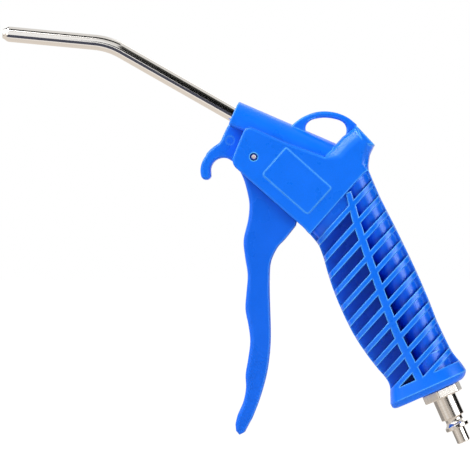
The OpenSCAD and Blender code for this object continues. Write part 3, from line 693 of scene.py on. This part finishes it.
def cross_hole(name, width):
    """A bar right through the head, for the pivot pin."""
    return bar(name, PIN - Vector((0, CUT_PAST, 0)), PIN + Vector((0, CUT_PAST, 0)), width, 32)


VALVE_BORES = {
    "cap_bore": (-1, 7.02, 10.04), "chamber": (0, 22.8, 8.6), "gallery": (0, 29.0, 6),
    "stem_hole": (0, 38, 3.2), "seal_groove": (36.36, 37.6, 4.98), "guide_bore": (37.6, 45, 6.84),
}
outlet_reach = (VALVE_END - MOUTH).dot(VALVE_SIDE) / TUBE_IN.dot(VALVE_SIDE)
TUBE_BORES = {
    "tube_bore": (-2, 26, 8.04), "bush_bore": (6, 21.5, 11.04), "outlet_way": (20, outlet_reach, 5),
}
INSERT_TOP = 39.9
INSERT_BORES = {"insert_bore": (23.0, INSERT_TOP, 16.44), "washer_recess": (20.0, 23.9, 19.4)}
AIR_WAY_LAP = 1
AIR_WAY_IN_VALVE = 12.5
AIR_WAY_D = 5
PIN_HOLE_D = 3.04
# Round cuts from both sides: x and z from the pivot pin, how far from the middle plane they end,
# their width and their number of faces.
SIDE_CUTS = {"pin_sink": (0, 0, 9.8, 4.1, 32), "mark": (-12.6, 8.7, 5.36, 4.5, 48)}
slot_outline = [
    *[(x, z, SLOT_RIM) for x, z in [
        (-7.84, -8.4), (-3.04, -18.0), (20.0, -42.0), (26.7, -37.8), (29.6, -30.0), (30.4, -23.2),
        (21.75, -14.0),
    ]],
    *arc(0, 0, SLOT_TOP_R, 35, 190, 18, SLOT_RIM),
]
cuts = moulding("lever_slot", slot_outline, -LEVER_SLOT_W / 2, LEVER_SLOT_W / 2)
air_way_foot = up_grip(INSERT_TOP) - Vector((0, 0, AIR_WAY_LAP))
air_way_top = PIN + VALVE_END - VALVE_OUT * AIR_WAY_IN_VALVE
combine(cuts, [
    *[on_valve(name, *bore) for name, bore in VALVE_BORES.items()],
    *[on_tube(name, *bore) for name, bore in TUBE_BORES.items()],
    bar("air_way", air_way_foot, air_way_top, AIR_WAY_D),
    *[bar(name, up_grip(a), up_grip(b), width) for name, (a, b, width) in INSERT_BORES.items()],
    cross_hole("pin_hole", PIN_HOLE_D),
    *[
        bar(name, PIN + Vector((x, side * CUT_PAST, z)), PIN + Vector((x, side * end, z)), width, faces)
        for name, (x, z, end, width, faces) in SIDE_CUTS.items()
        for side in (-1, 1)
    ],
])
combine(body, [cuts], "DIFFERENCE")
smooth_faces(body)


# Moulded nylon has a soft satin shine, broken by the fine grain of a spark-eroded mould. The melt's flow
# leaves broad faint clouds. Shade is painted into its colour in hollows and creases, and its edges are
# painted paler, partly as a painted highlight along the rounded rims and partly as wear where they rub. The
# grain is some 0.1 mm wide in life, and is drawn coarser so that it shows.
GRAIN = 0.7
GRAIN_RELIEF = 0.02
FLOW_MARK = 14
EDGE_SHEEN_AND_WEAR_REACH = 1.1
HOLLOW_SHADE_REACH = 7
CREASE_SHADE_REACH = 1.4


def nylon(name, colour, edge_highlight_and_wear_colour, painted_shade_colour):
    """Moulded nylon in a colour, with the colour painted on its edges as highlight and wear, and the colour
    painted in its hollows as shade.
    """
    material = bpy.data.materials.new(name)
    material.use_nodes = True
    tree = material.node_tree
    shader = tree.nodes["Principled BSDF"]
    place = node(tree, "ShaderNodeTexCoord").outputs["Object"]
    grain = node(tree, "ShaderNodeTexNoise", Vector=place, Scale=1 / (GRAIN * MM), Detail=3.0, Roughness=0.6)
    flow_marks = node(tree, "ShaderNodeTexNoise", Vector=place, Scale=1 / (FLOW_MARK * MM), Detail=4.0)
    # The edges are painted paler: partly a painted highlight that stands in for the shine of the rounded
    # rims, and partly wear where they rub.
    rim = node(tree, "ShaderNodeBevel", {"samples": 8}, Radius=EDGE_SHEEN_AND_WEAR_REACH * MM)
    flat = node(tree, "ShaderNodeNewGeometry").outputs["Normal"]
    same = node(tree, "ShaderNodeVectorMath", {"operation": "DOT_PRODUCT"}, s0=rim.outputs[0], s1=flat)
    edge = node(
        tree, "ShaderNodeMapRange", Value=same.outputs["Value"],
        From_Min=1.0, From_Max=0.95, To_Min=0.0, To_Max=1.0,
    )
    # Painted shade in creases and at the feet of walls: the colour darkens where the nylon is hemmed in, and
    # the pale edges are kept out of these creases.
    crease_occlusion = node(tree, "ShaderNodeAmbientOcclusion", {"samples": 8}, Distance=CREASE_SHADE_REACH * MM).outputs["AO"]
    outside = node(
        tree, "ShaderNodeMapRange", Value=crease_occlusion,
        From_Min=0.62, From_Max=0.84, To_Min=0.0, To_Max=1.0,
    )
    edge_highlight_and_wear = node(
        tree, "ShaderNodeMath", {"operation": "MULTIPLY"}, s0=edge.outputs[0], s1=outside.outputs[0],
    )
    painted_crease_shade = node(
        tree, "ShaderNodeMapRange", Value=crease_occlusion,
        From_Min=0.4, From_Max=0.85, To_Min=0.6, To_Max=1.0,
    )
    shade = node(
        tree, "ShaderNodeMapRange", Value=flow_marks.outputs["Fac"],
        From_Min=0.15, From_Max=0.85, To_Min=0.93, To_Max=1.06,
    )
    speck = node(
        tree, "ShaderNodeMapRange", Value=grain.outputs["Fac"],
        From_Min=0.15, From_Max=0.85, To_Min=0.93, To_Max=1.07,
    )
    level = node(
        tree, "ShaderNodeMath", {"operation": "MULTIPLY"}, s0=shade.outputs[0], s1=speck.outputs[0],
    )
    level = node(
        tree, "ShaderNodeMath", {"operation": "MULTIPLY"}, s0=level.outputs[0], s1=painted_crease_shade.outputs[0],
    )
    # Painted shade in deep hollows, such as the grip's pockets: the colour is mixed towards a darker one
    # where little light gets in.
    depth = node(tree, "ShaderNodeAmbientOcclusion", {"samples": 8}, Distance=HOLLOW_SHADE_REACH * MM)
    painted_shade_share = node(
        tree, "ShaderNodeMapRange", Value=depth.outputs["AO"],
        From_Min=0.15, From_Max=0.8, To_Min=0.0, To_Max=1.0,
    )
    tint = node(
        tree, "ShaderNodeMix", {"data_type": "RGBA", "blend_type": "MULTIPLY"},
        s0=1.0, s6=linear(colour), s7=level.outputs[0],
    )
    hollow = node(
        tree, "ShaderNodeMix", {"data_type": "RGBA"},
        s0=painted_shade_share.outputs[0], s6=linear(painted_shade_colour), s7=tint.outputs[2],
    )
    final = node(
        tree, "ShaderNodeMix", {"data_type": "RGBA"},
        s0=edge_highlight_and_wear.outputs[0], s6=hollow.outputs[2], s7=linear(edge_highlight_and_wear_colour),
    )
    satin = node(
        tree, "ShaderNodeMapRange", Value=flow_marks.outputs["Fac"],
        From_Min=0.15, From_Max=0.85, To_Min=0.23, To_Max=0.34,
    )
    relief = node(
        tree, "ShaderNodeBump", Strength=0.25, Distance=GRAIN_RELIEF * MM, Height=grain.outputs["Fac"],
    )
    tree.links.new(final.outputs[2], shader.inputs["Base Color"])
    tree.links.new(satin.outputs[0], shader.inputs["Roughness"])
    tree.links.new(relief.outputs[0], shader.inputs["Normal"])
    shader.inputs["IOR"].default_value = 1.46
    shader.inputs["Specular Tint"].default_value = linear("#D8F2FF")
    return material


# The body's colours: the nylon's own, the painted highlight and wear on its edges, and the painted shade in
# its hollows.
body.data.materials.append(nylon("moulded_blue_nylon", "#0070F6", "#62BEFF", "#0064E6"))
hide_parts("body")
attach(body, "handle")

# The lever, a channel of the same nylon, a shade deeper, that is open to the rear: a rounded front
# with shallow finger waves, thin side walls, and a pad near its top that presses the valve's stem.
LEVER_W = 17
LEVER_FRONT_ROUND = 2.3
LEVER_REAR_ROUND = 0.4
LEVER_WALL = 2.8
LEVER_SIDE = 2.2
LEVER_HOLE_D = 3.3
LEVER_TOP_R = 6.2
front = flow([(x, z, LEVER_FRONT_ROUND) for x, z in [
    (-7.3, -7.5), (-5.0, -12.9), (-3.0, -20.8), (-2.5, -26.0), (-3.2, -32.9), (-5.5, -43.1),
    (-4.8, -51.7), (-3.4, -61.0), (-4.0, -69.9), (-4.6, -79.0), (-3.0, -87.6), (-2.1, -95.9),
    (-3.2, -105.1), (-4.5, -113.0), (-4.3, -119.9), (-5.6, -127.0), (-8.6, -134.0), (-9.8, -139.0),
]], 4)
rear = flow([(x, z, LEVER_REAR_ROUND) for x, z in [
    (-1.5, -136.3), (2.1, -127.2), (5.1, -117.3), (7.0, -108.2), (8.1, -97.0), (8.1, -86.0),
    (7.7, -74.0), (7.6, -63.0), (8.0, -56.1), (9.4, -51.4), (12.2, -46.4), (15.8, -42.6),
    (21.3, -35.7),
]], 4)
PAD_AT = Vector((21.34, 0, -23.08))
PAD_FRONT = 5.5
PAD_REAR = 3.5
PAD_T = 2.6
PAD_RIM = 0.4
HOLLOW_TOP = -8.7
HOLLOW_FOOT = -137.3
HOLLOW_RIM = 0.8
OPEN_REAR = 30.0
pad_rear = PAD_AT + VALVE_SIDE * PAD_REAR
pad_front = PAD_AT - VALVE_SIDE * PAD_FRONT
pad = [pad_rear - VALVE_OUT * PAD_T, pad_rear, pad_front, pad_front - VALVE_OUT * PAD_T]
lever = moulding("lever", [
    *arc(0, 0, LEVER_TOP_R, 15, 205, 18, 1.0), *front,
    (-9.4, -142.3, 1.4), (-7.6, -144.4, 1.2), (-5.1, -143.1, 0.8),
    *rear, (pad_rear.x, pad_rear.z, 0.5), (pad_front.x, pad_front.z, 0.5),
], -LEVER_W / 2, LEVER_W / 2)
hollow = moulding("hollow", [
    (OPEN_REAR, HOLLOW_TOP, 0),
    *[(x + LEVER_WALL, z, HOLLOW_RIM) for x, z, _ in front if HOLLOW_FOOT < z < HOLLOW_TOP],
    (OPEN_REAR, HOLLOW_FOOT, 0),
], -LEVER_W / 2 + LEVER_SIDE, LEVER_W / 2 - LEVER_SIDE)
combine(lever, [hollow], "DIFFERENCE")
pad_reach = (LEVER_W - LEVER_SIDE) / 2
rest_pad = moulding("rest_pad", [(p.x, p.z, PAD_RIM) for p in pad], -pad_reach, pad_reach)
combine(lever, [rest_pad])
combine(lever, [cross_hole("hole", LEVER_HOLE_D)], "DIFFERENCE")
smooth_faces(lever)
# The lever's colours: the nylon's own, the painted highlight and wear on its edges, and the painted shade in
# its hollows.
lever.data.materials.append(nylon("moulded_lever_nylon", "#0064E8", "#4598FC", "#0056D4"))
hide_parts("trigger")
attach(lever, "lever")

# The pivot pin, ground steel with its end faces slightly domed and their rims broken. It sits in
# the side plates, and the lever turns on it. Grinding leaves fine scratches and a dull shine.
PIN_L = 23.4
PIN_DOME = [(0.2, -0.36), (0.6, -0.31), (0.9, -0.22), (1.15, -0.08), (1.35, 0.12), (1.5, 0.45)]


def turned(name, profile, place, sides=96):
    """A turned solid, from a profile of radius and height in mm; a closed profile makes a tube."""
    turns = round_turns(sides)
    rings = [[(r * math.cos(t), r * math.sin(t), z) for t in turns] for r, z in profile]
    return skin(name, rings, place)


def on_axis(start, direction):
    """The place of a turned piece: its foot, in mm, and the way its axis goes."""
    turn = Vector(direction).to_track_quat("Z", "Y").to_matrix().to_4x4()
    return Matrix.Translation(Vector(start) * MM) @ turn


pin_profile = PIN_DOME + [(r, PIN_L - z) for r, z in reversed(PIN_DOME)]
pin = turned("pin", pin_profile, on_axis(PIN - Vector((0, PIN_L / 2, 0)), (0, 1, 0)), 48)
smooth_faces(pin)


# How deep the tool marks look, how wide the faint stains are, and how many fit along a UV map.
MARK_RELIEF = 0.02
STAIN = 5
STAINS_BY_UV = 6.0


def metal(name, colour, roughness, marks, turn=(0, 0, 0), depth=0.2, spread=0.1, by_uv=False):
    """Metal with tool marks, which are noise stretched to sizes in mm, or to shares of a UV map."""
    material = bpy.data.materials.new(name)
    material.use_nodes = True
    tree = material.node_tree
    shader = tree.nodes["Principled BSDF"]
    place = node(tree, "ShaderNodeTexCoord").outputs["UV" if by_uv else "Object"]
    size = marks if by_uv else [m * MM for m in marks]
    stains = STAINS_BY_UV if by_uv else 1 / (STAIN * MM)
    laid = node(
        tree, "ShaderNodeMapping", {"vector_type": "TEXTURE"},
        Vector=place, Rotation=turn, Scale=size,
    )
    marked = node(
        tree, "ShaderNodeTexNoise", Vector=laid.outputs[0], Scale=1.0, Detail=3.0, Roughness=0.65,
    )
    stain = node(tree, "ShaderNodeTexNoise", Vector=place, Scale=stains, Detail=3.0)
    shade = node(
        tree, "ShaderNodeMapRange", Value=marked.outputs["Fac"],
        From_Min=0.3, From_Max=0.7, To_Min=1 - spread, To_Max=1.0,
    )
    patch = node(
        tree, "ShaderNodeMapRange", Value=stain.outputs["Fac"],
        From_Min=0.3, From_Max=0.7, To_Min=0.95, To_Max=1.0,
    )
    level = node(
        tree, "ShaderNodeMath", {"operation": "MULTIPLY"}, s0=shade.outputs[0], s1=patch.outputs[0],
    )
    tint = node(
        tree, "ShaderNodeMix", {"data_type": "RGBA", "blend_type": "MULTIPLY"},
        s0=1.0, s6=linear(colour), s7=level.outputs[0],
    )
    dull = node(
        tree, "ShaderNodeMapRange", Value=marked.outputs["Fac"],
        From_Min=0.3, From_Max=0.7, To_Min=roughness * 1.3, To_Max=roughness * 0.7,
    )
    relief = node(
        tree, "ShaderNodeBump", Strength=depth, Distance=MARK_RELIEF * MM, Height=marked.outputs["Fac"],
    )
    tree.links.new(tint.outputs[2], shader.inputs["Base Color"])
    tree.links.new(dull.outputs[0], shader.inputs["Roughness"])
    tree.links.new(relief.outputs[0], shader.inputs["Normal"])
    shader.inputs["Metallic"].default_value = 1
    return material


pin.data.materials.append(metal("ground_pin_steel", "#F6ECE6", 0.50, (0.3, 0.3, 0.3), spread=0.15))
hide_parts("pivot_pin")
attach(pin, "handle")

# The nozzle, a drawn steel tube with bright nickel plating, bent once, with its end rolled in and
# its other end held in the barrel's bush. The plating mirrors the room, broken only by faint lines.
TUBE_D = 8
TUBE_BORE = 6
TUBE_SEAT = 26
BEND_FROM_MOUTH = 72.9
BEND_R = 36
BEND_TURN = math.radians(24.2)
BEND_STEPS = 16
FRONT_RUN = 56
TUBE_CHAMFER = 0.4
TIP_BORE_R = 1.75
TIP_BORE_L = 1.6
TIP = [
    (TIP_BORE_R, 0.5), (1.8, 0.15), (2.1, 0.0), (2.45, 0.12), (2.6, 0.45), (2.9, 1.2), (3.45, 2.0),
    (3.85, 2.7), (4.0, 3.4),
]
bend_run = BEND_R * math.tan(BEND_TURN / 2)
bend_at = PIN + MOUTH - TUBE_IN * BEND_FROM_MOUTH
front_way = Matrix.Rotation(-BEND_TURN, 3, "Y") @ TUBE_IN
tip_at = bend_at - front_way * FRONT_RUN
bend_start = bend_at - front_way * bend_run
to_centre = Vector((front_way.z, 0, -front_way.x))
bend_centre = bend_start + to_centre * BEND_R
tube_end = PIN + MOUTH + TUBE_IN * TUBE_SEAT
# Each station is a place on the tube's middle line, the way the tube goes there, and a radius.
stations = [(tip_at + front_way * z, front_way, r) for r, z in TIP]
for k in range(BEND_STEPS + 1):
    spun = Matrix.Rotation(BEND_TURN * k / BEND_STEPS, 3, "Y")
    stations.append((bend_centre - spun @ to_centre * BEND_R, spun @ front_way, TUBE_D / 2))
stations.append((PIN + MOUTH + TUBE_IN * (TUBE_SEAT - TUBE_CHAMFER), TUBE_IN, TUBE_D / 2))
stations.append((tube_end, TUBE_IN, TUBE_D / 2 - TUBE_CHAMFER))
inside = [(at, way, TUBE_BORE / 2) for at, way, r in reversed(stations) if r == TUBE_D / 2]
inside = [
    (tube_end, TUBE_IN, TUBE_BORE / 2), *inside[1:],
    (tip_at + front_way * TIP_BORE_L, front_way, TIP_BORE_R),
]
rings = []
for at, way, r in [*stations, *inside, stations[0]]:
    up = Vector((-way.z, 0, way.x))
    rings.append([
        at + up * r * math.cos(turn) + Vector((0, r * math.sin(turn), 0))
        for turn in round_turns(ROUND_STEPS)
    ])
nozzle = skin("nozzle", rings)
smooth_faces(nozzle, angle=50)
# The drawing lines run along the tube: so many round its girth, and each a share of its length.
DRAWN_LINES = 70
DRAWN_SHARE = 0.3
nozzle.data.materials.append(metal(
    "bright_nickel_tube", "#F6F3EF", 0.09, (1 / DRAWN_LINES, DRAWN_SHARE, 1),
    depth=0.02, spread=0.06, by_uv=True,
))
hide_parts("nozzle_tube")
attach(nozzle, "handle")

# The inlet plug, turned from steel bar with a satin nickel plating: a nose, a locking flange,
# a necked shank and a hexagon for the spanner, with its thread up in the grip's brass insert. The
# turning marks run round it, and the hexagon's milled faces are duller.
PLUG_BORE_R = 2.5
plug = turned("plug", [
    (PLUG_BORE_R, -7.8), (3.0, -7.8), (3.5, -7.3), (3.5, -0.2), (3.7, 0.0),
    (5.9, 0.0), (6.25, 0.35), (6.25, 1.8), (6.1, 2.1), (5.3, 2.9), (4.8, 3.7), (4.6, 4.5),
    (4.6, 5.6), (4.9, 6.1), (5.9, 6.2), (6.2, 6.5), (6.2, 17.4), (6.4, 17.6),
    (6.5, 18.0), (6.5, 33.0), (6.1, 33.4), (PLUG_BORE_R, 33.4), (PLUG_BORE_R, -7.8),
], IN_GRIP)
plug_axis = IN_GRIP.to_3x3() @ Vector((0, 0, 1))

HEX_AF = 19
HEX_R = HEX_AF / 2 / math.cos(math.pi / 6)
HEX_TURN = math.radians(18)
HEX_FOOT = 17.6
HEX_CORNER = 0.6
HEX_BORE_D = 12
CONE_R = 11.0
CONE_END_R = 10.2
CONE_L = 0.4
CONE_PAST = 0.01
hexagon = turned("hexagon", [
    (HEX_R, HEX_FOOT), (HEX_R, HEX_TOP),
], IN_GRIP @ Matrix.Rotation(HEX_TURN, 4, "Z"), 6)
edit(hexagon)
bpy.ops.mesh.select_all(action="DESELECT")
bpy.ops.object.mode_set(mode="OBJECT")
for side in hexagon.data.edges:
    a, b = (hexagon.data.vertices[v].co for v in side.vertices)
    side.select = abs((a - b).normalized().dot(plug_axis)) > 0.99
bpy.ops.object.mode_set(mode="EDIT")
bpy.ops.mesh.bevel(offset=HEX_CORNER * MM, segments=3)
bpy.ops.object.mode_set(mode="OBJECT")
cone = turned("cone", [
    (CONE_END_R, HEX_FOOT - CONE_PAST), (CONE_R, HEX_FOOT + CONE_L),
    (CONE_R, HEX_TOP - CONE_L), (CONE_END_R, HEX_TOP + CONE_PAST),
], IN_GRIP)
combine(hexagon, [cone], "INTERSECT")
combine(hexagon, [bar("bore", up_grip(10), up_grip(30), HEX_BORE_D)], "DIFFERENCE")
combine(plug, [hexagon])
smooth_faces(plug)
TOOL_FEED = 0.4
MILL_MARK = 0.7
MARK_L = 60
FACET_MIN = 2 * MM ** 2
plug_turn = (0, -GRIP_LEAN, 0)
plug.data.materials.append(metal(
    "turned_nickel_steel", "#E9E4DE", 0.17, (MARK_L, MARK_L, TOOL_FEED), plug_turn,
    depth=0.15, spread=0.16,
))
plug.data.materials.append(metal(
    "milled_nickel_steel", "#EEEAE4", 0.30, (MILL_MARK, MILL_MARK, MARK_L), plug_turn,
    depth=0.5, spread=0.28,
))
for face in plug.data.polygons:
    height = face.center.dot(plug_axis) / MM
    on_facet = abs(face.normal.dot(plug_axis)) < 0.1 and HEX_FOOT < height < HEX_TOP
    face.material_index = 1 if on_facet and face.area > FACET_MIN else 0
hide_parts("inlet_plug")
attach(plug, "handle")

# The pieces inside keep their CAD solids: a turned brass bush, cap, seat, poppet, guide and insert,
# moulded rubber seals with a faint grey bloom, and a stem, clip and spring of bright drawn steel.
BLOOM = 1.2
BLOOM_RELIEF = 0.03
brass = metal("turned_brass", "#D6B268", 0.24, (0.35, 0.35, 0.35), spread=0.12)
spring_steel = metal("drawn_spring_steel", "#B9BCC0", 0.26, (0.3, 0.3, 0.3), spread=0.15)
rubber = bpy.data.materials.new("moulded_nitrile_rubber")
rubber.use_nodes = True
tree = rubber.node_tree
shader = tree.nodes["Principled BSDF"]
place = node(tree, "ShaderNodeTexCoord").outputs["Object"]
bloom = node(tree, "ShaderNodeTexNoise", Vector=place, Scale=1 / (BLOOM * MM), Detail=4.0)
shade = node(
    tree, "ShaderNodeMix", {"data_type": "RGBA"},
    s0=bloom.outputs["Fac"], s6=linear("#141414"), s7=linear("#2A2A2B"),
)
relief = node(
    tree, "ShaderNodeBump", Strength=0.3, Distance=BLOOM_RELIEF * MM, Height=bloom.outputs["Fac"],
)
tree.links.new(shade.outputs[2], shader.inputs["Base Color"])
tree.links.new(relief.outputs[0], shader.inputs["Normal"])
shader.inputs["Roughness"].default_value = 0.55
finishes = {
    brass: ["nozzle_bush", "valve_cap", "valve_seat", "poppet", "stem_guide", "inlet_insert"],
    rubber: ["nozzle_seal", "cap_seal", "poppet_seal", "seat_seal", "stem_seal", "inlet_washer"],
    spring_steel: ["valve_spring", "poppet_clip", "valve_stem"],
}
for finish, names in finishes.items():
    for name in names:
        for slot in frame["nodes"][name].material_slots:
            slot.material = finish
